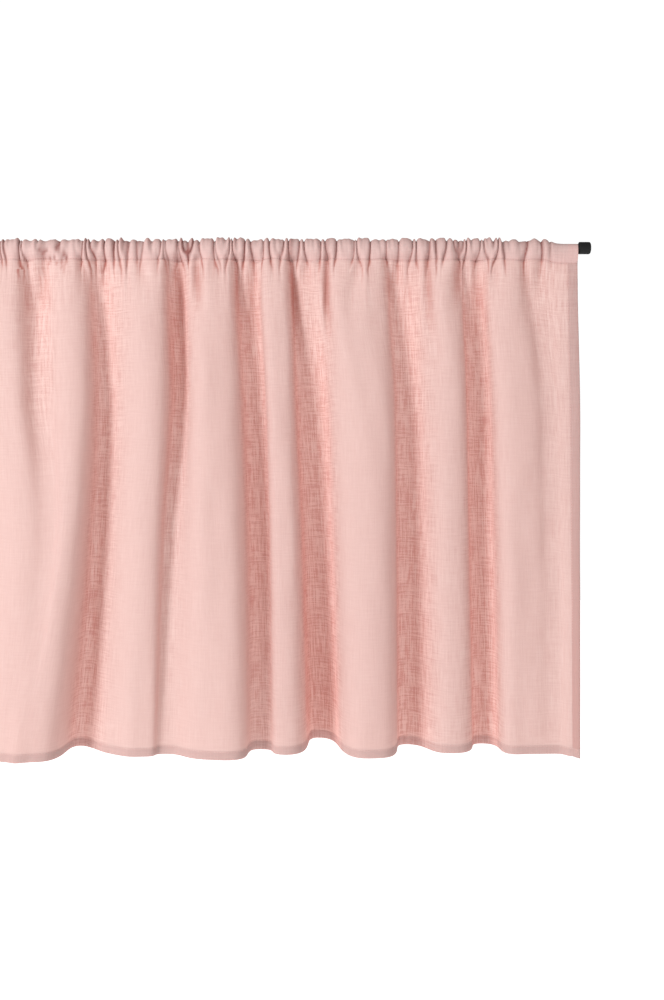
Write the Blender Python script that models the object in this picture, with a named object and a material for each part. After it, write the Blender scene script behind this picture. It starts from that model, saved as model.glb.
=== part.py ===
"""A cafe curtain: one linen panel gathered on a slim rod that runs through the pocket at its top edge.

Metres. The origin is on the rod's axis, half way along it. +X is to the right as seen from the room, the
front of the cloth faces -Y, and +Z is up. The panel, its rod pocket and its hems are one solid.
"""

import math
from collections import namedtuple

import bmesh
import bpy
import numpy as np

# Driving dimensions of the rod and its caps
ROD_RADIUS = 0.0045
CAP_RADIUS = 0.00715
CAP_LENGTH = 0.0132
CAP_SOCKET_DEPTH = 0.009
CAP_OUTER_ROUND = 0.0018
CAP_INNER_ROUND = 0.0005
FIT_GAP = 0.0003  # between two pieces that fit together
CAP_TO_CLOTH = 0.002
ROUND_SIDES = 24

# Driving dimensions of the cloth
GATHERED_HALF_WIDTH = 0.4802
SEAM_Z = -0.0135  # the line of stitches under the rod
HEM_Z = -0.585
CLOTH_THICKNESS = 0.0015
POCKET_WALL = 0.0012
POCKET_RADIUS = 0.0068  # outside of the pocket where it lies flat on the rod
POCKET_SLACK = 0.0008  # before and behind the rod
GATHER_LIFT = 0.0018  # how far the gathers lift the pocket's top off the rod
RUFFLE_HEIGHT = 0.0034
FLAT_END_X = 0.449  # from here to the right edge the pocket isn't gathered
FLAT_END_SEAM_DROP = 0.0042
COLUMN_STEP = 0.0086  # along the cloth, between two columns of the solid
EDGE_SHARE = 0.02  # of the way to the next fold, over which a side edge thins to a line
BODY_ROWS = (HEM_Z, -0.485, -0.375, -0.265, -0.170, -0.095, -0.045, SEAM_Z)
TUNNEL_FOOT = 0.0024  # the channel's lowest line, over the stitches
POCKET_ANGLES = (180, 120, 60, 0)  # degrees round the rod, from its front over its top to its back

# The heights at which the folds below are given
FOLD_HEIGHTS = (SEAM_Z, -0.061, -0.160, -0.317, HEM_Z)
MM = 0.001
WELD = 1e-6

# One row for each crest and trough, from the left edge to the right. x and depth are in millimetres, at
# the neck, the upper part, the middle and the hem; depth is towards the room. left and right say how much
# of the way to the next row the crest or trough stays broad, so two large values make a steep flank.
Fold = namedtuple("Fold", "name x depth left right")
FOLDS = (
    Fold("left edge", (-480, -480, -479, -477), (0, 0, 2, 6), 0.5, 0.5),
    Fold("crest", (-456, -456, -454, -453), (5, 9, 12, 16), 0.5, 0.7),
    Fold("trough", (-424, -429, -434, -440), (-9, -14, -16, -18), 0.5, 0.5),
    Fold("crest", (-375, -374, -374, -374), (9, 16, 20, 24), 0.6, 0.9),
    Fold("trough", (-338, -341, -346, -350), (-10, -17, -20, -24), 0.5, 0.5),
    Fold("crest", (-287, -284, -279, -275), (9, 16, 22, 28), 0.6, 0.9),
    Fold("trough", (-249, -251, -250, -247), (-10, -16, -18, -22), 0.5, 0.5),
    Fold("broad crest", (-178, -175, -162, -176), (9, 13, 24, 38), 0.5, 0.6),
    Fold("dip that fills out", (-147, -146, -126, -158), (-5, -3, 17, 40), 0.5, 0.5),
    Fold("broad crest", (-110, -104, -108, -143), (10, 17, 25, 39), 0.6, 0.9),
    Fold("trough", (-76, -73, -80, -101), (-12, -14, -15, -18), 0.4, 0.2),
    Fold("crest", (-17, -10, -21, -32), (10, 18, 21, 22), 0.4, 0.95),
    Fold("dip that fills out", (12, 14, 8, 2), (-11, -14, -4, 9), 0.5, 0.4),
    Fold("crest", (55, 59, 66, 71), (10, 19, 28, 35), 0.7, 0.95),
    Fold("trough", (96, 102, 107, 110), (-11, -19, -22, -7), 0.5, 0.6),
    Fold("crest", (129, 132, 137, 141), (9, 15, 15, 15), 0.8, 0.95),
    Fold("deep trough", (158, 160, 168, 178), (-7, -22, -30, -48), 0.5, 0.6),
    Fold("crest", (222, 235, 238, 239), (9, 19, 25, 27), 0.8, 1.0),
    Fold("trough", (278, 281, 283, 285), (-12, -17, -21, -23), 0.6, 0.4),
    Fold("crest", (329, 332, 332, 333), (10, 13, 11, 7), 0.5, 0.9),
    Fold("trough", (356, 361, 366, 373), (-12, -18, -22, -24), 0.5, 0.8),
    Fold("crest", (398, 404, 408, 412), (9, 14, 15, 12), 0.9, 0.8),
    Fold("slight dip", (440, 448, 453, 456), (-1, 5, 9, 11), 0.5, 0.5),
    Fold("crest", (468, 469, 470, 470), (4, 8, 12, 18), 0.5, 0.5),
    Fold("right edge", (480, 481, 480, 477), (3, 9, 13, 25), 0.5, 0.5),
)

# Narrow pleats that start in the gathered pocket, millimetres: where, half width, how deep, and how far
# below the stitches each one runs before it fades.
Pleat = namedtuple("Pleat", "x width depth run")
PLEATS = (
    Pleat(-455, 5, 3, 30),
    Pleat(-430, 6, 4, 60),
    Pleat(-398, 6, 3, 40),
    Pleat(-372, 5, 3, 25),
    Pleat(-345, 6, 5, 90),
    Pleat(-318, 6, 3, 45),
    Pleat(-292, 5, 3, 30),
    Pleat(-252, 7, 5, 90),
    Pleat(-228, 5, 3, 40),
    Pleat(-161, 7, 4, 70),
    Pleat(-139, 6, 4, 60),
    Pleat(-97, 6, 4, 40),
    Pleat(-70, 6, 3, 45),
    Pleat(-27, 6, 3, 30),
    Pleat(16, 7, 5, 70),
    Pleat(41, 6, 4, 55),
    Pleat(82, 6, 5, 80),
    Pleat(103, 6, 4, 100),
    Pleat(147, 6, 6, 120),
    Pleat(165, 6, 3, 35),
    Pleat(189, 5, 6, 110),
    Pleat(226, 6, 3, 45),
    Pleat(258, 6, 4, 60),
    Pleat(272, 6, 3, 40),
    Pleat(307, 6, 5, 110),
    Pleat(342, 6, 5, 60),
    Pleat(364, 6, 4, 90),
    Pleat(386, 5, 3, 40),
    Pleat(418, 6, 4, 60),
    Pleat(438, 5, 2, 45),
)

# The uneven waves of the ruffles between the pleats: share of the full height, radians per metre, and how
# far and how fast each wave drifts.
Wave = namedtuple("Wave", "share turn drift drift_turn")
RUFFLE_WAVES = (
    Wave(0.3, 251, 1.4, 37),
    Wave(0.2, 397, 2.1, 53),
)


def hermite(levels, values, z):
    """A smooth curve through values at levels, read at z. values may hold a row of numbers per level."""
    levels = np.array(levels, float)
    values = np.array(values, float)
    slopes = np.gradient(values, levels, axis=0)
    below = int(np.clip(np.searchsorted(-levels, -z) - 1, 0, len(levels) - 2))
    span = levels[below + 1] - levels[below]
    t = (z - levels[below]) / span
    return (
        (2 * t**3 - 3 * t**2 + 1) * values[below]
        + (t**3 - 2 * t**2 + t) * span * slopes[below]
        + (3 * t**2 - 2 * t**3) * values[below + 1]
        + (t**3 - t**2) * span * slopes[below + 1]
    )


def fold_points(z):
    """x and depth of every row of FOLDS at height z, in metres. The folds die out at the stitches."""
    x = np.array([fold.x for fold in FOLDS]).T
    depth = np.array([fold.depth for fold in FOLDS]).T
    x = np.vstack((x[0], x))
    depth = np.vstack((0 * depth[0], depth))
    return hermite(FOLD_HEIGHTS, x, z) * MM, hermite(FOLD_HEIGHTS, depth, z) * MM


def fold_span(index, t, z):
    """(x, depth) a share t of the way from row index of FOLDS to the next, at height z."""
    x, depth = fold_points(z)
    across = x[index + 1] - x[index]
    leave = FOLDS[index].right * across
    arrive = FOLDS[index + 1].left * across
    place = (
        x[index]
        + 3 * t * (1 - t) ** 2 * leave
        + 3 * t**2 * (1 - t) * (across - arrive)
        + t**3 * across
    )
    return place, depth[index] + (depth[index + 1] - depth[index]) * (3 * t**2 - 2 * t**3)


def columns():
    """(row of FOLDS, share t) of each column of the solid, evenly along the cloth."""
    found = []
    for index in range(len(FOLDS) - 1):
        longest = 0
        for z in FOLD_HEIGHTS[1:]:
            run = [fold_span(index, t, z) for t in np.linspace(0, 1, 13)]
            longest = max(longest, np.hypot(*np.diff(run, axis=0).T).sum())
        steps = max(3, round(longest / COLUMN_STEP))
        found += [(index, step / steps) for step in range(steps)]
    last = len(FOLDS) - 2
    return [found[0], (0, EDGE_SHARE), *found[1:], (last, 1 - EDGE_SHARE), (last, 1.0)]


def flat_end(x):
    """1 where the pocket lies flat at the right end, 0 where it is gathered."""
    return 0.5 + 0.5 * math.tanh((x - FLAT_END_X) / 0.006)


def pleat_depth(x, z):
    """How far the pleats push the cloth back: most a little below the stitches, then less and wider."""
    total = 0
    for pleat in PLEATS:
        below = max(0, SEAM_Z - z) / (pleat.run * MM)
        spread = pleat.width * MM * (1 + 0.8 * below)
        strength = (0.4 + 1.5 * below) * math.exp(-1.6 * below**2)
        total += pleat.depth * MM * strength * math.exp(-(((x - pleat.x * MM) / spread) ** 2))
    return total


def ruffle(x):
    """0 where the gathered pocket touches the rod, 1 on the crests of its ruffles."""
    height = 0.5
    for wave in RUFFLE_WAVES:
        height += wave.share * math.sin(wave.turn * x + wave.drift * math.sin(wave.drift_turn * x))
    return max(0, height * (1 - flat_end(x)) - pleat_depth(x, SEAM_Z) / RUFFLE_HEIGHT)


def body_point(column, z):
    x, depth = fold_span(*column, z)
    return np.array((x, pleat_depth(x, z) * (1 - flat_end(x)) - depth, z))


def seam_drop(x):
    return FLAT_END_SEAM_DROP * flat_end(x)


def body_surfaces(spots, spread):
    """The front and back of the hanging cloth, as (column, row, xyz), hem first and stitches last."""
    middle = np.array([[body_point(spot, z) for z in BODY_ROWS] for spot in spots])
    middle[:, -1, 2] -= [seam_drop(x) for x in middle[:, -1, 0]]
    along = np.gradient(middle, axis=0)
    up = np.gradient(middle, axis=1)
    normal = np.cross(along, up)
    normal /= np.linalg.norm(normal, axis=2, keepdims=True)
    half = normal * CLOTH_THICKNESS / 2 * spread[:, None, None]
    return middle + half, middle - half


def pocket_point(x, angle, inset):
    """A point at an angle round the rod, so far inside the pocket's outer surface."""
    lift = (1 - flat_end(x)) * GATHER_LIFT + RUFFLE_HEIGHT * ruffle(x)
    radius = POCKET_RADIUS - inset
    side = radius + POCKET_SLACK + RUFFLE_HEIGHT * 0.9 * ruffle(x)
    turn = math.radians(angle)
    return x, side * math.cos(turn), (radius + lift) * math.sin(turn)


def section(front, back, spread):
    """One column's closed outline: down the front from the stitches, up the back, and over the rod."""
    middle = (front[-1] + back[-1]) / 2
    inset = POCKET_WALL / 2 * (1 - spread)
    over = [pocket_point(middle[0], angle, inset) for angle in reversed(POCKET_ANGLES)]
    return [*front[::-1], *back, *over, front[-1]]


def tunnel_section(front, back, spread):
    """One column of the channel for the rod, closed on the point just over the stitches."""
    middle = (front[-1] + back[-1]) / 2
    foot = middle + np.array((0, 0, TUNNEL_FOOT * spread))
    inset = POCKET_WALL / 2 * (1 + spread)
    over = [pocket_point(middle[0], angle, inset) for angle in reversed(POCKET_ANGLES)]
    return [foot, *over, foot]


def add_tube(mesh, sections):
    """Lays a grid over the sections, one column each. Its long edges meet, and are welded afterwards."""
    across, around = len(sections) - 1, len(sections[0]) - 1
    grid = bmesh.ops.create_grid(mesh, x_segments=across, y_segments=around, size=1)["verts"]
    for vert in grid:
        column = round((vert.co.x + 1) / 2 * across)
        step = round((vert.co.y + 1) / 2 * around)
        vert.co = sections[column][step]


def new_object(name, mesh, material):
    data = bpy.data.meshes.new(name)
    mesh.to_mesh(data)
    mesh.free()
    data.materials.append(material)
    data.shade_smooth()
    data.set_sharp_from_angle(angle=math.radians(40))
    made = bpy.data.objects.new(name, data)
    bpy.context.scene.collection.objects.link(made)
    return made


def new_material(name, colour, roughness, metallic=0.0):
    material = bpy.data.materials.new(name)
    material.use_nodes = True
    shader = material.node_tree.nodes["Principled BSDF"]
    shader.inputs["Base Color"].default_value = (*colour, 1)
    shader.inputs["Roughness"].default_value = roughness
    shader.inputs["Metallic"].default_value = metallic
    return material


def build_curtain(material):
    spots = columns()
    spread = np.ones(len(spots))
    spread[[0, -1]] = 0
    front, back = body_surfaces(spots, spread)
    mesh = bmesh.new()
    add_tube(mesh, [section(*column) for column in zip(front, back, spread)])
    add_tube(mesh, [tunnel_section(*column) for column in zip(front, back, spread)])
    bmesh.ops.remove_doubles(mesh, verts=mesh.verts, dist=WELD)
    bmesh.ops.recalc_face_normals(mesh, faces=mesh.faces)
    if mesh.calc_volume(signed=True) < 0:
        bmesh.ops.reverse_faces(mesh, faces=mesh.faces)
    return new_object("curtain", mesh, material)


def build_rod(material):
    length = 2 * (cap_inner_face() + CAP_SOCKET_DEPTH - FIT_GAP)
    mesh = bmesh.new()
    bmesh.ops.create_cone(
        mesh, cap_ends=True, segments=ROUND_SIDES, radius1=ROD_RADIUS, radius2=ROD_RADIUS, depth=length
    )
    rod = new_object("rod", mesh, material)
    rod.rotation_euler = (0, math.pi / 2, 0)


def cap_inner_face():
    return GATHERED_HALF_WIDTH + CAP_TO_CLOTH


def round_rim(mesh, z, width, segments):
    rim = [edge for edge in mesh.edges if all(abs(vert.co.z - z) < 1e-6 for vert in edge.verts)]
    bmesh.ops.bevel(
        mesh, geom=rim, offset=width, segments=segments, profile=0.5, affect="EDGES", material=-1
    )


def build_cap(name, side, material):
    """A round cap with a socket for the rod's end, made upright, then laid along the rod."""
    mesh = bmesh.new()
    bmesh.ops.create_cone(
        mesh,
        cap_ends=True,
        segments=ROUND_SIDES,
        radius1=CAP_RADIUS,
        radius2=CAP_RADIUS,
        depth=CAP_LENGTH,
    )
    round_rim(mesh, CAP_LENGTH / 2, CAP_OUTER_ROUND, 3)
    round_rim(mesh, -CAP_LENGTH / 2, CAP_INNER_ROUND, 1)
    mouth = min(mesh.faces, key=lambda face: face.calc_center_median().z)
    rim_width = CAP_RADIUS - CAP_INNER_ROUND - ROD_RADIUS - FIT_GAP
    bmesh.ops.inset_individual(mesh, faces=[mouth], thickness=rim_width)
    socket = bmesh.ops.extrude_discrete_faces(mesh, faces=[mouth])["faces"]
    bmesh.ops.translate(mesh, verts=socket[0].verts, vec=(0, 0, CAP_SOCKET_DEPTH))
    cap = new_object(name, mesh, material)
    cap.rotation_euler = (0, side * math.pi / 2, 0)
    cap.location = (side * (cap_inner_face() + CAP_LENGTH / 2), 0, 0)


def main():
    for old in list(bpy.data.objects):
        bpy.data.objects.remove(old)
    linen = new_material("pink linen", (0.79, 0.50, 0.46), 0.9)
    steel = new_material("black rod", (0.03, 0.03, 0.03), 0.45, 0.5)
    rubber = new_material("black cap", (0.02, 0.02, 0.02), 0.6)
    build_curtain(linen)
    build_rod(steel)
    for side, name in ((-1, "rod_cap_left"), (1, "rod_cap_right")):
        build_cap(name, side, rubber)


main()
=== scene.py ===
"""A cafe curtain of sheer pink linen, gathered on a slim black rod that ends in two round caps.

Metres. The rod's axis is the X axis, the room is towards -Y and +Z is up.
"""

import math
from collections import namedtuple

import bmesh
import bpy
import numpy as np
from mathutils import Matrix, Vector


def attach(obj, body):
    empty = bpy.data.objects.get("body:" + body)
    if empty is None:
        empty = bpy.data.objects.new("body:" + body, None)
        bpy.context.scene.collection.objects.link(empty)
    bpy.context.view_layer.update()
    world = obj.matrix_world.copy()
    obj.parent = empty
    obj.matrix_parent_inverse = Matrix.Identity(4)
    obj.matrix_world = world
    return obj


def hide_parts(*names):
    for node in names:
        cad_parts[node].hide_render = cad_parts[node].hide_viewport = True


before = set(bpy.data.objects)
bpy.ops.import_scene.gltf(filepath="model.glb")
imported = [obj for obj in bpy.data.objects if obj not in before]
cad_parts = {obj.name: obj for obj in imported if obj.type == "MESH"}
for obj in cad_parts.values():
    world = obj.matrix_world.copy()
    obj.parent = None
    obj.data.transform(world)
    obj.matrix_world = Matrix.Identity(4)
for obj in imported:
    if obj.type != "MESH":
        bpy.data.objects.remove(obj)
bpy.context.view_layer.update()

MM = 0.001

# ---------------------------------------------------------------- the hanging cloth

HALF_WIDTH = 0.4802
SEAM_Z = -0.0135
HEM_Z = -0.585
FLAT_END_X = 0.449  # from here to the right edge the pocket isn't gathered
FLAT_END_BLEND = 0.006
FLAT_END_SEAM_DROP = 0.0042
HANG_FORWARD = 0.0003  # from the rod's axis to a cloth without folds
ROD_RADIUS = 0.0045
CLOTH_OFF_ROD = 0.0004
GATHER_LIFT = 0.0020
POCKET_LENGTH = 0.045  # of cloth, from the stitches over the rod and back
POCKET_RISE = 0.3  # of that length, before the rod; as much hangs behind it
POCKET_SLACK = 0.0006
RUFFLE_RISE = 0.02  # how far above the stitches the ruffles take the pocket's top to be
HEM_WIDTH = 0.0095
HEM_TUCK = 0.001
HEM_BEND = 0.0005  # of cloth that bends, on each side of a turned edge
LAYER = 0.00045  # from one layer of a turned hem to the next
FOLD_LIP = 0.002  # the pocket's lower edge at the back, below its stitches
POCKET_TUCK = 0.007
HELD_DEPTH = 0.4  # of the folds' depth at the neck, that is left at the stitches

FOLD_HEIGHTS = np.array((SEAM_Z, -0.061, -0.160, -0.317, HEM_Z))

# One row for each crest and trough, from the left edge to the right. x and depth are in millimetres, at the
# neck, the upper part, the middle and the hem; depth is towards the room. left and right say for how much of
# the way to the next row the crest or trough stays broad: two large values that meet make a steep flank.
Fold = namedtuple("Fold", "name x depth left right")
FOLDS = (
    Fold("left edge", (-480, -480, -479, -477), (0, 0, 2, 6), 0.5, 0.5),
    Fold("crest", (-456, -456, -454, -453), (5, 9, 12, 16), 0.5, 0.7),
    Fold("trough", (-424, -429, -434, -440), (-9, -14, -16, -18), 0.5, 0.5),
    Fold("crest", (-375, -374, -374, -374), (9, 16, 20, 24), 0.6, 0.9),
    Fold("trough", (-338, -341, -346, -350), (-10, -17, -20, -24), 0.5, 0.5),
    Fold("crest", (-287, -284, -279, -275), (9, 16, 22, 28), 0.6, 0.9),
    Fold("trough", (-249, -251, -250, -247), (-10, -16, -18, -22), 0.5, 0.5),
    Fold("broad crest", (-178, -175, -162, -176), (9, 13, 24, 38), 0.5, 0.6),
    Fold("dip that fills out", (-147, -146, -126, -158), (-5, -3, 17, 40), 0.5, 0.5),
    Fold("broad crest", (-110, -104, -108, -143), (10, 17, 25, 39), 0.6, 1.05),
    Fold("trough", (-76, -73, -80, -101), (-12, -14, -15, -18), 0.55, 0.2),
    Fold("crest", (-17, -10, -21, -32), (10, 18, 21, 22), 0.4, 1.08),
    Fold("dip that fills out", (12, 14, 8, 2), (-11, -14, -4, 9), 0.6, 0.4),
    Fold("crest", (55, 59, 66, 71), (10, 19, 28, 35), 0.7, 1.08),
    Fold("trough", (96, 102, 107, 110), (-11, -19, -22, -7), 0.6, 0.8),
    Fold("crest", (129, 132, 137, 141), (9, 15, 15, 15), 0.8, 1.08),
    Fold("deep trough", (158, 160, 168, 178), (-7, -22, -30, -48), 0.6, 0.6),
    Fold("crest", (222, 235, 238, 239), (9, 19, 25, 27), 0.8, 1.1),
    Fold("trough", (278, 281, 283, 285), (-12, -17, -21, -23), 0.6, 0.4),
    Fold("crest", (329, 332, 332, 333), (10, 13, 11, 7), 0.5, 1.05),
    Fold("trough", (356, 361, 366, 373), (-12, -18, -22, -24), 0.6, 0.8),
    Fold("crest", (398, 404, 408, 412), (9, 14, 15, 12), 0.9, 0.8),
    Fold("slight dip", (440, 448, 453, 456), (-1, 5, 9, 11), 0.5, 0.5),
    Fold("crest", (468, 469, 470, 470), (4, 8, 12, 18), 0.5, 0.5),
    Fold("right edge", (480, 481, 480, 477), (3, 9, 13, 25), 0.5, 0.5),
)

# Narrow pleats that start in the gathered pocket, in millimetres: where, half width, how deep, how far below
# the stitches each one runs before it fades, and how far it leans to the right as it goes down.
Pleat = namedtuple("Pleat", "x width depth run lean")
PLEATS = (
    Pleat(-455, 4, 4, 30, 4),
    Pleat(-430, 5, 6, 60, -6),
    Pleat(-398, 5, 4, 40, 5),
    Pleat(-372, 4, 4, 25, 0),
    Pleat(-345, 5, 8, 90, 6),
    Pleat(-318, 5, 4, 45, -5),
    Pleat(-292, 4, 4, 30, 3),
    Pleat(-252, 6, 8, 90, -4),
    Pleat(-228, 4, 4, 40, 5),
    Pleat(-161, 6, 6, 70, 3),
    Pleat(-139, 5, 6, 60, -6),
    Pleat(-97, 5, 6, 40, 5),
    Pleat(-70, 5, 4, 45, -3),
    Pleat(-27, 5, 4, 30, 4),
    Pleat(16, 6, 9, 130, -2),
    Pleat(38, 5, 8, 60, 4),
    Pleat(82, 5, 8, 80, 5),
    Pleat(103, 5, 6, 100, -4),
    Pleat(147, 5, 12, 120, 6),
    Pleat(165, 5, 4, 35, -3),
    Pleat(189, 4, 10, 110, 2),
    Pleat(226, 5, 4, 45, -7),
    Pleat(258, 5, 6, 60, 6),
    Pleat(272, 5, 4, 40, -4),
    Pleat(307, 5, 8, 110, 5),
    Pleat(342, 5, 8, 60, -5),
    Pleat(364, 5, 6, 90, 5),
    Pleat(386, 4, 4, 40, 0),
    Pleat(418, 5, 6, 60, 6),
    Pleat(438, 4, 3, 45, -3),
)

# The creases between the ruffles of the gathered pocket, in millimetres from the middle of the rod, for the
# right part of the curtain. The left part is gathered in the same uneven way.
CREASES = (
    -183, -168, -161, -141, -133, -126, -118, -113, -97, -89, -81, -70, -59, -52, -43, -31, -27, -7, 0, 4, 14,
    19, 28, 43, 59, 63, 73, 82, 92, 103, 114, 124, 135, 145, 155, 165, 181, 190, 199, 219, 226, 238, 258, 272,
    285, 293, 307, 316, 324, 342, 349, 363, 376, 385, 395, 418, 439, 449,
)  # fmt: skip


def fold_tables():
    """x and depth of the folds in metres, a row for each of FOLD_HEIGHTS. At the stitches they are shallow."""
    x = np.array([fold.x for fold in FOLDS], float).T * MM
    depth = np.array([fold.depth for fold in FOLDS], float).T * MM
    return np.vstack((x[0], x)), np.vstack((HELD_DEPTH * depth[0], depth))


FOLD_X, FOLD_DEPTH = fold_tables()
LEFT = np.array([fold.left for fold in FOLDS])
RIGHT = np.array([fold.right for fold in FOLDS])


def at_height(values, row, z):
    """The values of the crests and troughs numbered row at heights z, on a smooth curve through the table."""
    slopes = np.gradient(values, FOLD_HEIGHTS, axis=0)
    k = np.clip(np.searchsorted(-FOLD_HEIGHTS, -z) - 1, 0, len(FOLD_HEIGHTS) - 2)
    span = FOLD_HEIGHTS[k + 1] - FOLD_HEIGHTS[k]
    t = (z - FOLD_HEIGHTS[k]) / span
    return (
        (2 * t**3 - 3 * t**2 + 1) * values[k, row]
        + (t**3 - 2 * t**2 + t) * span * slopes[k, row]
        + (3 * t**2 - 2 * t**3) * values[k + 1, row]
        + (t**3 - t**2) * span * slopes[k + 1, row]
    )


def fold_span(row, t, z):
    """x and depth a share t of the way from row of FOLDS to the next, at height z. All three are arrays."""
    x0, x1 = at_height(FOLD_X, row, z), at_height(FOLD_X, row + 1, z)
    depth0, depth1 = at_height(FOLD_DEPTH, row, z), at_height(FOLD_DEPTH, row + 1, z)
    across = x1 - x0
    leave, arrive = RIGHT[row] * across, LEFT[row + 1] * across
    x = x0 + 3 * t * (1 - t) ** 2 * leave + 3 * t**2 * (1 - t) * (across - arrive) + t**3 * across
    return x, depth0 + (depth1 - depth0) * (3 * t**2 - 2 * t**3)


# The cloth is laid out by its own length, so that the weave keeps its size over the folds: for each span of
# FOLDS and each of some heights, SHARES says what t is reached at an even step along the cloth.
SPAN_HEIGHTS = np.linspace(SEAM_Z, HEM_Z, 33)
SPAN_STEPS = np.linspace(0, 1, 41)


def measure_spans():
    """(length of each span along the hem and the middle, t at even steps along it for each height)."""
    spans = len(FOLDS) - 1
    shares = np.empty((spans, len(SPAN_HEIGHTS), len(SPAN_STEPS)))
    lengths = np.empty((spans, len(SPAN_HEIGHTS)))
    fine = np.linspace(0, 1, 121)
    for row in range(spans):
        for level, z in enumerate(SPAN_HEIGHTS):
            x, depth = fold_span(np.full(fine.shape, row), fine, np.full(fine.shape, z))
            run = np.concatenate([[0], np.cumsum(np.hypot(np.diff(x), np.diff(depth)))])
            lengths[row, level] = run[-1]
            shares[row, level] = np.interp(SPAN_STEPS, run / run[-1], fine)
    return lengths[:, len(SPAN_HEIGHTS) // 2 :].mean(axis=1), shares


SPAN_LENGTHS, SHARES = measure_spans()
SPAN_ENDS = np.concatenate([[0], np.cumsum(SPAN_LENGTHS)])
WIDTH = SPAN_ENDS[-1]
DROP = SEAM_Z - HEM_Z


def share_of_span(row, step, z):
    """t at a share step along the cloth of a span, read between the rows of SHARES."""
    level = (z - SEAM_Z) / (HEM_Z - SEAM_Z) * (len(SPAN_HEIGHTS) - 1)
    level = np.clip(level, 0, len(SPAN_HEIGHTS) - 1.001)
    place = np.clip(step * (len(SPAN_STEPS) - 1), 0, len(SPAN_STEPS) - 1.001)
    i, j = level.astype(int), place.astype(int)
    a, b = level - i, place - j
    return (
        SHARES[row, i, j] * (1 - a) * (1 - b)
        + SHARES[row, i + 1, j] * a * (1 - b)
        + SHARES[row, i, j + 1] * (1 - a) * b
        + SHARES[row, i + 1, j + 1] * a * b
    )


def seam_x(u):
    """Where the cloth that lies u from its left edge is held by the stitches."""
    return np.interp(u, SPAN_ENDS, FOLD_X[0])


def flat_end(x):
    """1 where the pocket lies flat at the right end, 0 where it is gathered."""
    return 0.5 + 0.5 * np.tanh((x - FLAT_END_X) / FLAT_END_BLEND)


def smooth(low, high, value):
    t = np.clip((value - low) / (high - low), 0, 1)
    return t * t * (3 - 2 * t)


class Waves:
    """A smooth uneven surface between about -1 and 1, made of waves of random length, direction and phase."""

    def __init__(self, seed, count, across, along):
        chance = np.random.default_rng(seed)
        self.across = chance.uniform(0.4, 1.0, count) / across * 2 * math.pi
        self.along = chance.uniform(-1.0, 1.0, count) / along * 2 * math.pi
        self.phase = chance.uniform(0, 2 * math.pi, count)
        self.size = chance.uniform(0.5, 1.0, count)
        self.size /= math.sqrt((self.size**2).sum())

    def at(self, u, v):
        return sum(
            size * np.sin(across * u + along * v + phase)
            for size, across, along, phase in zip(self.size, self.across, self.along, self.phase)
        )


def all_creases():
    """Every crease of the pocket, from its left edge to where it lies flat, in metres."""
    chance = np.random.default_rng(11)
    left = [CREASES[0] * MM]
    while left[0] > -0.468:
        left.insert(0, left[0] - chance.choice((5, 7, 8, 9, 11, 14, 18)) * MM)
    return np.array([-HALF_WIDTH - 0.002, *left[1:-1], *np.array(CREASES) * MM, FLAT_END_X + 0.012])


CREASE_X = all_creases()
RUFFLES = len(CREASE_X) - 1
RUFFLE_CHANCE = np.random.default_rng(5)
RUFFLE_WIDTH = np.diff(CREASE_X)
# A broad ruffle stands out less than a usual one, and a narrow one by half its width. Chance makes them uneven.
USUAL_WIDTH, USUAL_HEIGHT = 0.011, 0.0044
RUFFLE_HEIGHT = np.minimum(0.5 * RUFFLE_WIDTH, USUAL_HEIGHT * (USUAL_WIDTH / RUFFLE_WIDTH) ** 0.3)
RUFFLE_HEIGHT *= RUFFLE_CHANCE.uniform(0.7, 1.3, RUFFLES)
RUFFLE_ROUND = RUFFLE_CHANCE.uniform(0.5, 0.95, RUFFLES)
RUFFLE_RUN = RUFFLE_CHANCE.uniform(0.006, 0.024, RUFFLES)
# How dark the shade painted into each crease between the ruffles is.
CREASE_DARK = RUFFLE_CHANCE.uniform(0.45, 1.0, RUFFLES)
LEANING = Waves(21, 6, 0.016, 1.0)
SEAM_WANDER = Waves(22, 7, 0.03, 1.0)
BILLOWS = Waves(23, 9, 0.09, 0.5)
CRUMPLES = Waves(24, 16, 0.03, 0.09)
WRINKLES = Waves(25, 10, 0.0055, 0.02)
LEAN = 0.22  # how far aside a crease may lean, for each metre up
LEAN_FROM, LEAN_TO = -0.012, 0.02  # above the stitches
SEAM_UNEVEN = 0.0006
BILLOW_DEPTH = 0.0022
CRUMPLE_DEPTH = 0.00035
WRINKLE_DEPTH = 0.0006


def in_ruffle(x, below):
    """(which ruffle, how far across it from 0 to 1, how strong it still is), at x, below the stitches."""
    place = x + LEAN * LEANING.at(x, 0 * x) * np.clip(-below, LEAN_FROM, LEAN_TO)
    k = np.clip(np.searchsorted(CREASE_X, place) - 1, 0, RUFFLES - 1)
    t = np.clip((place - CREASE_X[k]) / RUFFLE_WIDTH[k], 0, 1)
    return k, t, np.exp(-np.clip(below, 0, 1) / RUFFLE_RUN[k])


def ruffle(x, below):
    """How far a ruffle stands out; 0 on the creases between them."""
    k, t, fade = in_ruffle(x, below)
    return RUFFLE_HEIGHT[k] * np.sin(math.pi * t) ** RUFFLE_ROUND[k] * fade * (1 - flat_end(x))


def pleats(x, below):
    """How far the pleats push the cloth back: most a little below the stitches, then less and wider."""
    total = 0 * x
    for pleat in PLEATS:
        down = np.clip(below, 0, 1) / (pleat.run * MM)
        spread = pleat.width * MM * (1 + 0.8 * down)
        strength = (0.6 + 1.4 * down) * np.exp(-1.6 * down**2)
        middle = (pleat.x + pleat.lean * down) * MM
        total += pleat.depth * MM * strength * np.exp(-(((x - middle) / spread) ** 2))
    return total * (1 - flat_end(x))


def seam_z(x):
    """How high the stitches lie: uneven where the pocket is gathered, and lower at the flat end."""
    flat = flat_end(x)
    return SEAM_Z - FLAT_END_SEAM_DROP * flat + SEAM_UNEVEN * SEAM_WANDER.at(x, 0 * x) * (1 - flat)


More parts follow.
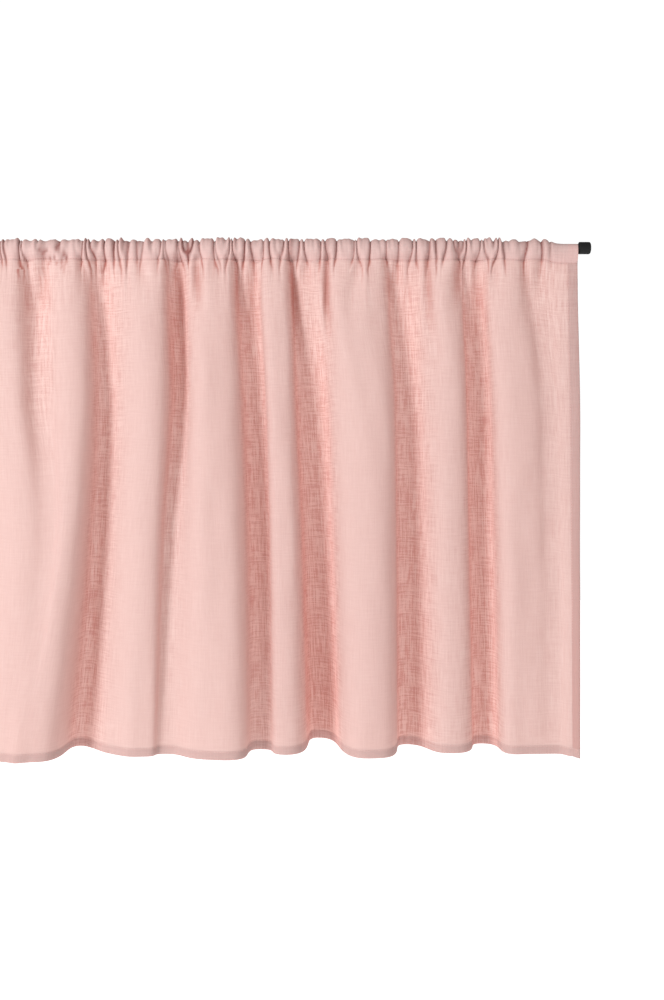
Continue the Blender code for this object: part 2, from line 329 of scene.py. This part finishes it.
def seam_y(u):
    """How far back the stitches lie: they follow the folds, the pleats and the ruffles."""
    return hanging(u, np.full(u.shape, DROP))[1]


def hanging(u, v):
    """A point of the hanging cloth, u from its left edge and v above its lower edge, up to the stitches."""
    v = np.clip(v, 0, DROP)
    z = HEM_Z + v
    row = np.clip(np.searchsorted(SPAN_ENDS, u) - 1, 0, len(SPAN_LENGTHS) - 1)
    t = share_of_span(row, (u - SPAN_ENDS[row]) / SPAN_LENGTHS[row], z)
    x, depth = fold_span(row, t, z)
    below = DROP - v
    held = seam_x(u)
    y = pleats(held, below) - depth - HANG_FORWARD
    y -= ruffle(held, below) * (0.75 + 0.25 * smooth(0, 0.006, below))
    loose = smooth(0.01, 0.16, below)
    crumpled = smooth(0, 0.05, below)
    y += BILLOW_DEPTH * loose * BILLOWS.at(u, v) + CRUMPLE_DEPTH * crumpled * CRUMPLES.at(u, v)
    return x, y, z + (seam_z(held) - SEAM_Z) * v / DROP


def height_on_rod(x, share):
    """What the ruffles take for the height of the pocket's cloth; negative above the stitches."""
    return seam_z(x) - SEAM_Z - np.sin(math.pi * share) * RUFFLE_RISE


def over_rod(u, v):
    """A point of the pocket: its cloth goes up before the rod, over it and down behind it to the stitches."""
    x = seam_x(u)
    share = np.clip((v - DROP) / POCKET_LENGTH, 0, 1)
    radius = ROD_RADIUS + CLOTH_OFF_ROD
    stand = ruffle(x, height_on_rod(x, share))
    stand += WRINKLE_DEPTH * WRINKLES.at(x, v) * (1 - flat_end(x)) * np.sin(math.pi * share)
    lift = (1 - flat_end(x)) * GATHER_LIFT + stand
    side = radius + POCKET_SLACK + 0.8 * stand
    turn = math.pi * np.clip((share - POCKET_RISE) / (1 - 2 * POCKET_RISE), 0, 1)
    y = -side * np.cos(turn)
    z = (radius + lift) * np.sin(turn)
    up = np.clip(np.minimum(share, 1 - share) / POCKET_RISE, 0, 1)
    front = share < 0.5
    foot = seam_y(u) + np.where(front, 0, 2 * LAYER)
    ease = np.sin(up * math.pi / 2) ** 0.85
    low = up < 1
    y = np.where(low, foot + (np.where(front, -side, side) - foot) * ease, y)
    z = np.where(low, seam_z(x) * (1 - up), z)
    # The turned edge at the back goes a little below the stitches, and then up inside the pocket.
    past = np.clip(v - DROP - POCKET_LENGTH, 0, 1)
    down = np.minimum(past, FOLD_LIP) - np.clip(past - FOLD_LIP, 0, 1)
    z = z - down
    y = y - LAYER * smooth(FOLD_LIP - HEM_BEND, FOLD_LIP + HEM_BEND, past)
    return x, y, z


def cloth_point(u, v):
    """Points of the cloth as an array of xyz."""
    body, pocket = hanging(u, v), over_rod(u, v)
    on_rod = v > DROP
    return np.stack([np.where(on_rod, p, b) for b, p in zip(body, pocket)], axis=-1)


def facing(u, v, step=0.0006):
    """The cloth's direction towards the room, at (u, v)."""
    along = cloth_point(u + step, v) - cloth_point(u - step, v)
    up = cloth_point(u, v + step) - cloth_point(u, v - step)
    normal = np.cross(along, up)
    return normal / np.maximum(np.linalg.norm(normal, axis=-1, keepdims=True), 1e-12)


# ---------------------------------------------------------------- the turned hems

TURN = HEM_WIDTH - HEM_TUCK
SIDE_CUT = TURN + HEM_WIDTH  # of cloth in a hem turned twice, beyond the panel's edge
CUT_WIDTH = WIDTH + 2 * SIDE_CUT
CUT_TO_SEAM = SIDE_CUT + DROP  # from the lower raw edge to the pocket's stitches


def turned(cut):
    """(distance in from the folded edge, layers behind the front) of the cut cloth, cut from its raw edge."""
    into = np.abs(cut - SIDE_CUT)
    distance = np.where(cut < TURN, HEM_TUCK + cut, np.where(cut < SIDE_CUT, SIDE_CUT - cut, into))
    twice = smooth(TURN - HEM_BEND, TURN + HEM_BEND, cut)
    return distance, 1.0 + 1.0 * twice - 2.0 * smooth(-HEM_BEND, HEM_BEND, cut - SIDE_CUT)


def placed(cut_across, cut_along):
    """Points of the whole cut piece, with its hems turned behind it."""
    right = cut_across > CUT_WIDTH / 2
    from_side, side_layers = turned(np.where(right, CUT_WIDTH - cut_across, cut_across))
    from_hem, hem_layers = turned(cut_along)
    u = np.where(right, WIDTH - from_side, from_side)
    on_rod = smooth(DROP - 0.004, DROP + 0.008, from_hem)
    corner = smooth(0.014, 0.009, from_side)
    behind = hem_layers * LAYER * (1 + 1.2 * corner)
    behind += np.where(hem_layers > 0.5, -1, 1) * side_layers * LAYER * (1 - 0.65 * on_rod)
    point = cloth_point(u, from_hem) - facing(u, from_hem) * behind[:, None]
    # A folded edge is round, so it stands out by half its thickness.
    point[:, 0] += np.where(right, 1, -1) * LAYER * np.exp(-((from_side / HEM_BEND) ** 2))
    point[:, 2] -= LAYER * np.exp(-((from_hem / HEM_BEND) ** 2))
    return point


def spaced(start, stop, step):
    """Evenly spaced places from start up to stop, about step apart and without stop itself."""
    return list(np.linspace(start, stop, max(1, round((stop - start) / step)) + 1)[:-1])


def turned_lines():
    """Where the grid has its lines over a turned hem, from the raw edge to the stitches of the hem."""
    return [
        0.0, TURN / 2, TURN - HEM_BEND, TURN, TURN + HEM_BEND, TURN + HEM_WIDTH / 2, SIDE_CUT - HEM_BEND,
        SIDE_CUT, SIDE_CUT + HEM_BEND, SIDE_CUT + HEM_WIDTH / 2, SIDE_CUT + HEM_WIDTH,
    ]  # fmt: skip


COLUMN_STEP = 0.00245
HEM_ROW_STEP = 0.004
ROW_STEP = 0.0068
NECK_ROW_STEP = 0.002
POCKET_ROW_STEP = 0.0017
NECK = 0.016  # below the stitches, from where the grid is twice as fine across


def grid_lines():
    """(cut distances across, cut distances along, where the neck starts) of the grid's lines."""
    side = turned_lines()
    across = side + spaced(side[-1] + COLUMN_STEP, CUT_WIDTH - side[-1], COLUMN_STEP)
    across += [CUT_WIDTH - distance for distance in reversed(side)]
    neck = CUT_TO_SEAM - NECK
    behind = CUT_TO_SEAM + POCKET_LENGTH
    lip = behind + FOLD_LIP
    along = side + spaced(side[-1] + HEM_ROW_STEP, neck, ROW_STEP) + spaced(neck, CUT_TO_SEAM, NECK_ROW_STEP)
    along += spaced(CUT_TO_SEAM, behind, POCKET_ROW_STEP)
    along += [behind, lip - HEM_BEND, lip, lip + HEM_BEND, lip + POCKET_TUCK]
    return np.array(across), np.array(along), neck


def lay_grid(mesh, across, along):
    """A flat grid with its lines at the given distances."""
    made = bmesh.ops.create_grid(mesh, x_segments=len(across) - 1, y_segments=len(along) - 1, size=1)["verts"]
    for vert in made:
        column = round((vert.co.x + 1) / 2 * (len(across) - 1))
        row = round((vert.co.y + 1) / 2 * (len(along) - 1))
        vert.co = (across[column], along[row], 0)


def shade_of_fold(u, v):
    """0 on the crests that stand out to the room, 1 in the troughs. By it the linen's colour is painted paler
    on the crests, as lit, and deeper in the troughs, as shaded.
    """
    return smooth(-0.018, 0.022, cloth_point(u, v)[:, 1])


# How strongly shade is painted into the creases between the ruffles, the pleats and the wedges where a pleat
# starts.
CREASE_WIDTH = 0.0013
PLEAT_SHADE = 0.75
WEDGE_SHADE = 0.35  # where a pleat starts, under the pocket's ruffles


def depth_of_crease(u, v):
    """How deep in a narrow crease or pleat of the gathers the cloth lies: 1 at most, 0 on the open cloth. The
    linen is painted dark by it, as shade.
    """
    x = seam_x(u)
    share = np.clip((v - DROP) / POCKET_LENGTH, 0, 1)
    below = np.where(v > DROP, height_on_rod(x, share), DROP - v)
    k, t, fade = in_ruffle(x, below)
    aside = np.minimum(t, 1 - t) * RUFFLE_WIDTH[k]
    crease = np.exp(-((aside / CREASE_WIDTH) ** 2)) * smooth(0.15, 0.75, fade)
    pleat = smooth(0.002, 0.011, pleats(x, below)) * smooth(0.12, 0.02, below)
    at_seam = smooth(-0.016, -0.002, below) * smooth(0.004, 0, below)
    wedge = smooth(0.0012, 0.005, pleats(x, 0 * below)) * at_seam
    pressed = np.maximum(PLEAT_SHADE * pleat, WEDGE_SHADE * wedge)
    return np.maximum(crease * CREASE_DARK[k], pressed) * (1 - flat_end(x))


def new_object(name, mesh, material):
    """A piece in the scene, with the mesh and one material, that stays with the part."""
    data = bpy.data.meshes.new(name)
    mesh.to_mesh(data)
    mesh.free()
    data.materials.append(material)
    data.shade_smooth()
    made = bpy.data.objects.new(name, data)
    bpy.context.scene.collection.objects.link(made)
    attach(made, "root")
    return made


def sew_curtain(material):
    """The whole panel: one piece of cloth with its pocket and its turned hems."""
    across, along, neck = grid_lines()
    mesh = bmesh.new()
    lay_grid(mesh, across, along)
    fine = [e for e in mesh.edges if e.verts[0].co.y == e.verts[1].co.y and e.verts[0].co.y > neck - 1e-5]
    bmesh.ops.subdivide_edges(mesh, edges=fine, cuts=1, use_grid_fill=True)
    flat = np.array([vert.co for vert in mesh.verts])
    point = placed(flat[:, 0], flat[:, 1])
    cut = mesh.loops.layers.uv.new("cut")
    bake = mesh.loops.layers.uv.new("OFBake")
    wide, tall = across[-1], along[-1]
    mesh.verts.index_update()
    for face in mesh.faces:
        for loop in face.loops:
            a, b = flat[loop.vert.index, :2]
            loop[cut].uv = (a, b)
            loop[bake].uv = (a / wide, b / wide)
    for vert, place in zip(mesh.verts, point):
        vert.co = place
    curtain = new_object("linen_panel", mesh, material)
    from_hem, _ = turned(flat[:, 1])
    u = np.clip(flat[:, 0] - SIDE_CUT, 0, WIDTH)
    for name, measure in (("trough", shade_of_fold), ("crease", depth_of_crease)):
        kept = curtain.data.attributes.new(name, "FLOAT", "POINT")
        kept.data.foreach_set("value", measure(u, from_hem).astype(np.float32))
    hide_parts("curtain")
    return curtain


# ---------------------------------------------------------------- stitching

STITCH = 0.0026
STITCH_GAP = 0.0006
THREAD_RADIUS = 0.00017
STITCH_IN = 0.0008  # from a hem's inner edge to its stitches
STITCHES_AT_ONCE = 40


def stitch_line(mesh, u, v):
    """Short stitches on the front of the cloth, along the line through the points (u, v)."""
    points = cloth_point(u, v) + facing(u, v) * THREAD_RADIUS * 0.6
    run = np.concatenate([[0], np.cumsum(np.linalg.norm(np.diff(points, axis=0), axis=1))])
    starts = np.arange(0, run[-1] - STITCH, STITCH + STITCH_GAP)
    ends = [np.stack([np.interp(starts + d, run, line) for line in points.T], axis=1) for d in (0, STITCH)]
    for first in range(0, len(starts), STITCHES_AT_ONCE):
        add_stitches(mesh, *(side[first : first + STITCHES_AT_ONCE] for side in ends))


def add_stitches(mesh, starts, stops):
    """A few stitches, made in a mesh of their own and then added, which is much faster."""
    few = bmesh.new()
    for start, stop in zip(starts, stops):
        start, stop = Vector(start), Vector(stop)
        along = stop - start
        lay = Matrix.Translation((start + stop) / 2) @ along.to_track_quat("Z", "Y").to_matrix().to_4x4()
        lay = lay @ Matrix.Diagonal((THREAD_RADIUS, THREAD_RADIUS, along.length / 2, 1))
        bmesh.ops.create_uvsphere(few, u_segments=6, v_segments=4, radius=1, matrix=lay)
    data = bpy.data.meshes.new("stitches")
    few.to_mesh(data)
    few.free()
    mesh.from_mesh(data)
    bpy.data.meshes.remove(data)


def sew_stitches(material):
    """The stitches under the rod, along the lower hem and along both side hems."""
    mesh = bmesh.new()
    across = np.linspace(0.001, WIDTH - 0.001, 3000)
    stitch_line(mesh, across, np.full(across.shape, DROP))
    stitch_line(mesh, across, np.full(across.shape, HEM_WIDTH - STITCH_IN))
    up = np.linspace(HEM_WIDTH, DROP - 0.002, 500)
    for u in (HEM_WIDTH - STITCH_IN, WIDTH - HEM_WIDTH + STITCH_IN):
        stitch_line(mesh, np.full(up.shape, u), up)
    stitches = new_object("stitching", mesh, material)
    return stitches


# ---------------------------------------------------------------- finishes


class Value:
    """A socket of a finish, on which arithmetic adds Math nodes."""

    def __init__(self, finish, socket):
        self.finish, self.socket = finish, socket

    def math(self, operation, first, second):
        return self.finish.add("Math", {"operation": operation}, {0: first, 1: second})

    def __add__(self, other):
        return self.math("ADD", self, other)

    def __sub__(self, other):
        return self.math("SUBTRACT", self, other)

    def __rsub__(self, other):
        return self.math("SUBTRACT", other, self)

    def __mul__(self, other):
        return self.math("MULTIPLY", self, other)

    __radd__, __rmul__ = __add__, __mul__


class Finish:
    """The nodes of a material or of the world, and the one method that adds a node to them."""

    def __init__(self, owner):
        self.owner = owner
        owner.use_nodes = True
        self.tree = owner.node_tree
        self.tree.nodes.clear()

    def add(self, kind, settings=None, sockets=None, output=0):
        """What comes out of a new node, which has the given settings and the given values on its sockets."""
        node = self.tree.nodes.new("ShaderNode" + kind)
        for name, value in (settings or {}).items():
            setattr(node, name, value)
        for name, value in (sockets or {}).items():
            if isinstance(value, Value):
                self.tree.links.new(value.socket, node.inputs[name])
            else:
                node.inputs[name].default_value = value
        return Value(self, node.outputs[output]) if node.outputs else node

    def noise(self, x, y, detail, rough, z=0.0):
        """Noise between about 0 and 1, read at a place that may be stretched."""
        place = self.add("CombineXYZ", None, {"X": x, "Y": y, "Z": z})
        settings = {"Vector": place, "Scale": 1.0, "Detail": detail, "Roughness": rough}
        return self.add("TexNoise", None, settings)

    def limit(self, value, low, high, to_low=0.0, to_high=1.0):
        """A smooth step from to_low to to_high while value goes from low to high."""
        return self.add(
            "MapRange",
            {"interpolation_type": "SMOOTHSTEP"},
            {"Value": value, "From Min": low, "From Max": high, "To Min": to_low, "To Max": to_high},
        )

    def blend(self, share, first, second):
        """A colour between two, by share."""
        return self.add("Mix", {"data_type": "RGBA"}, {0: share, 6: first, 7: second}, output=2)


# Colours of the linen's face: the crest colours are painted light and the trough colours painted shade, lit and
# shaded copies of one pink.
PALE_LIT_CREST, DEEP_LIT_CREST = (0.68, 0.545, 0.515, 1), (0.60, 0.41, 0.38, 1)
PALE_SHADED_TROUGH, DEEP_SHADED_TROUGH = (0.82, 0.56, 0.52, 1), (0.72, 0.40, 0.36, 1)
# The hems' colour is partly the deeper colour of cloth in more layers, partly painted shade.
LAYERED_AND_SHADED, POCKET = (0.58, 0.31, 0.28, 1), (0.82, 0.56, 0.53, 1)
# Painted shade for the pleats below the pocket and, darker, for the creases between its ruffles.
PLEAT_SHADOW, CREASE_SHADOW = (0.34, 0.11, 0.09, 1), (0.13, 0.03, 0.03, 1)
PALE_GLOW, DEEP_GLOW = (0.80, 0.41, 0.34, 1), (0.52, 0.16, 0.12, 1)
# In the creases the light that comes through is painted deeper too, as shade.
LAYERED_GLOW, CREASE_SHADOW_GLOW = (0.44, 0.18, 0.14, 1), (0.50, 0.09, 0.05, 1)


def weave(cloth, across, along):
    """How thick the uneven flax threads are, a little above or below 0."""
    warp = cloth.noise(across * 760, along * 34, 3.0, 0.65)
    weft = cloth.noise(across * 44, along * 640, 3.0, 0.65, z=7.0)
    threads = cloth.noise(across * 1500, along * 900, 1.0, 0.5, z=3.0)
    cloud = cloth.noise(across * 26, along * 14, 3.0, 0.6, z=11.0)
    return (warp - 0.5) * 2.4 + (weft - 0.5) * 1.7 + (threads - 0.5) * 0.7 + (cloud - 0.5) * 0.4


def deeper_hems_and_shade(cloth, across, along):
    """How much deeper the hems are painted: partly the deeper colour of cloth in more layers, partly painted
    shade where those layers let less light through; the corner, past both seams, less so.
    """
    edge, blur = SIDE_CUT + HEM_WIDTH, 0.0002
    hem = cloth.limit(along, edge - blur, edge + blur, 1.0, 0.0)
    side = cloth.limit(across, edge - blur, edge + blur, 1.0, 0.0)
    side = side + cloth.limit(across, CUT_WIDTH - edge - blur, CUT_WIDTH - edge + blur)
    side = side * cloth.limit(along, edge, CUT_TO_SEAM, 0.62, 0.2)
    side = side * cloth.limit(along, CUT_TO_SEAM, CUT_TO_SEAM + 2 * blur, 1.0, 0.2)
    return hem * 0.22 + side * (hem * -0.8 + 1.0)


def shade_at_seam_pinch(cloth, along):
    """1 on the line where the stitches pull the cloth in, 0 away from it. A thin line of shade is painted
    there.
    """
    from_below = cloth.limit(along, CUT_TO_SEAM - 0.0009, CUT_TO_SEAM - 0.0001)
    return from_below * cloth.limit(along, CUT_TO_SEAM, CUT_TO_SEAM + 0.0008, 1.0, 0.0)


def linen():
    """Sheer linen, painted paler as if lit and smooth on the crests; in the troughs it is painted deeper as
    shade, its threads stand out and light comes through.
    """
    cloth = Finish(bpy.data.materials.new("sheer pink linen"))
    cut = cloth.add("UVMap", {"uv_map": "cut"})
    across = cloth.add("SeparateXYZ", None, {0: cut})
    along = cloth.add("SeparateXYZ", None, {0: cut}, output=1)
    trough = cloth.add("Attribute", {"attribute_name": "trough"}, None, output=2)
    crease = cloth.add("Attribute", {"attribute_name": "crease"}, None, output=2)
    slub = weave(cloth, across, along)
    # The weave's contrast is painted faint on the crests, as if washed out by light, and strong in the shaded
    # troughs.
    dense = cloth.limit(slub * (trough * 0.88 + 0.12) + 0.5, 0.15, 0.85)
    gap = cloth.limit(slub * -1.0, 0.35, 1.1) * (trough * 0.3 + 0.03)
    hems_and_shade = deeper_hems_and_shade(cloth, across, along)

    # Painted light and shade: a paler copy of the linen on the crests, a deeper one in the troughs.
    painted_lit_crest = cloth.blend(dense, PALE_LIT_CREST, DEEP_LIT_CREST)
    painted_shaded_trough = cloth.blend(dense, PALE_SHADED_TROUGH, DEEP_SHADED_TROUGH)
    face = cloth.blend(trough * trough, painted_lit_crest, painted_shaded_trough)
    # The hems: partly the deeper colour of cloth in more layers, partly painted shade.
    face = cloth.blend(hems_and_shade, face, LAYERED_AND_SHADED)
    pocket = cloth.limit(along, CUT_TO_SEAM, CUT_TO_SEAM + 0.0006, 0.0, 0.45)
    face = cloth.blend(pocket, face, POCKET)
    # Painted shade: dark colour in the pleats below the pocket, darker in the creases between its ruffles, and
    # a faint line along the stitches.
    floor = cloth.blend(pocket, PLEAT_SHADOW, CREASE_SHADOW)
    face = cloth.blend(crease + shade_at_seam_pinch(cloth, along) * 0.3, face, floor)
    glow = cloth.blend(dense, PALE_GLOW, DEEP_GLOW)
    glow = cloth.blend(hems_and_shade, glow, LAYERED_GLOW)
    # The light through the creases is painted deeper too, as shade.
    glow = cloth.blend(crease, glow, CREASE_SHADOW_GLOW)
    bump = cloth.add("Bump", None, {"Strength": 0.25, "Distance": 0.0003, "Height": slub})
    front = cloth.add(
        "BsdfPrincipled",
        None,
        {"Base Color": face, "Roughness": 0.88, "Specular IOR Level": 0.2, "Normal": bump},
    )
    through = cloth.add("BsdfTranslucent", None, {"Color": glow})
    clear = cloth.add("BsdfTransparent")
    woven = cloth.add("MixShader", None, {0: 0.38, 1: front, 2: through})
    whole = cloth.add("MixShader", None, {0: gap, 1: woven, 2: clear})
    cloth.add("OutputMaterial", None, {"Surface": whole})
    return cloth.owner


def thread():
    """Pink sewing thread, in a twist of paler and deeper fibres."""
    sewn = Finish(bpy.data.materials.new("pink sewing thread"))
    place = sewn.add("TexCoord", None, None, output=3)
    twist = sewn.add("TexNoise", None, {"Vector": place, "Scale": 900.0, "Detail": 2.0})
    colour = sewn.blend(twist, (0.66, 0.40, 0.36, 1), (0.80, 0.54, 0.50, 1))
    shader = sewn.add("BsdfPrincipled", None, {"Base Color": colour, "Roughness": 0.6})
    sewn.add("OutputMaterial", None, {"Surface": shader})
    return sewn.owner


BLACK_STEEL, DUSTY_STEEL = (0.008, 0.008, 0.008, 1), (0.016, 0.016, 0.016, 1)
BLACK_RUBBER, DUSTY_RUBBER = (0.006, 0.006, 0.006, 1), (0.013, 0.013, 0.014, 1)


def black_finish(name, colour, dusty, roughness, grain, shine):
    """A black finish with a fine grain and slightly paler, rougher patches."""
    black = Finish(bpy.data.materials.new(name))
    place = black.add("TexCoord", None, None, output=3)
    fine = black.add("TexNoise", None, {"Vector": place, "Scale": grain, "Detail": 4.0})
    patch = black.add("TexNoise", None, {"Vector": place, "Scale": 60.0, "Detail": 3.0})
    worn = black.limit(patch, 0.45, 0.75)
    shade = black.blend(worn, colour, dusty)
    bump = black.add("Bump", None, {"Strength": 0.2, "Distance": 0.0002, "Height": fine})
    shader = black.add(
        "BsdfPrincipled",
        None,
        {
            "Base Color": shade,
            "Roughness": (fine - 0.5) * 0.3 + worn * 0.1 + roughness,
            "Specular IOR Level": shine,
            "Normal": bump,
        },
    )
    black.add("OutputMaterial", None, {"Surface": shader})
    return black.owner


def finish_cad_node(name, material):
    for slot in bpy.data.objects[name].material_slots:
        slot.material = material


# ---------------------------------------------------------------- the studio


def add_light(name, place, target, size, power):
    lamp = bpy.data.lights.new(name, "AREA")
    lamp.shape = "RECTANGLE"
    lamp.size, lamp.size_y = size
    lamp.energy = power
    made = bpy.data.objects.new(name, lamp)
    made.location = place
    made.rotation_euler = (Vector(target) - Vector(place)).to_track_quat("-Z", "Y").to_euler()
    bpy.context.scene.collection.objects.link(made)


def light_the_room():
    """A white room that shows white and lights the cloth softly, with a strong light at the left."""
    room = Finish(bpy.data.worlds.new("white studio"))
    seen = room.add("LightPath")
    soft = room.add("Background", None, {"Color": (1, 1, 1, 1), "Strength": 0.47})
    white = room.add("Background", None, {"Color": (1, 1, 1, 1), "Strength": 1.05})
    either = room.add("MixShader", None, {0: seen, 1: soft, 2: white})
    room.add("OutputWorld", None, {"Surface": either})
    bpy.context.scene.world = room.owner
    add_light("left light", (-1.9, -1.9, 0.3), (0.1, 0, -0.3), (0.9, 1.6), 78)
    add_light("right light", (1.8, -2.4, 0.3), (0.1, 0, -0.3), (1.2, 1.6), 14)


def lay_floor():
    mesh = bmesh.new()
    bmesh.ops.create_grid(mesh, x_segments=1, y_segments=1, size=6)
    bmesh.ops.translate(mesh, verts=mesh.verts, vec=(0, 0, -1.5))
    pale = Finish(bpy.data.materials.new("pale floor"))
    shader = pale.add(
        "BsdfPrincipled",
        None,
        {
            "Base Color": (0.9, 0.9, 0.9, 1),
            "Roughness": 0.9,
            "Emission Color": (1, 1, 1, 1),
            "Emission Strength": 0.8,
        },
    )
    pale.add("OutputMaterial", None, {"Surface": shader})
    data = bpy.data.meshes.new("floor")
    mesh.to_mesh(data)
    mesh.free()
    data.materials.append(pale.owner)
    floor = bpy.data.objects.new("floor", data)
    bpy.context.scene.collection.objects.link(floor)


def place_camera():
    lens = bpy.data.cameras.new("camera")
    lens.lens = 37.1
    lens.sensor_width = 36
    lens.shift_y = -0.087
    lens.clip_start = 0.01
    camera = bpy.data.objects.new("camera", lens)
    camera.location = (0.1948, -1.2, -0.192)
    camera.rotation_euler = (math.pi / 2, 0, 0)
    bpy.context.scene.collection.objects.link(camera)
    bpy.context.scene.camera = camera
    bpy.context.scene.view_settings.view_transform = "Standard"


def main():
    sew_curtain(linen())
    sew_stitches(thread())
    steel = black_finish("black painted steel", BLACK_STEEL, DUSTY_STEEL, 0.45, 3000, 0.4)
    rubber = black_finish("black rubber cap", BLACK_RUBBER, DUSTY_RUBBER, 0.7, 2200, 0.2)
    for node, finish in (("rod", steel), ("rod_cap_left", rubber), ("rod_cap_right", rubber)):
        finish_cad_node(node, finish)
    light_the_room()
    lay_floor()
    place_camera()


main()
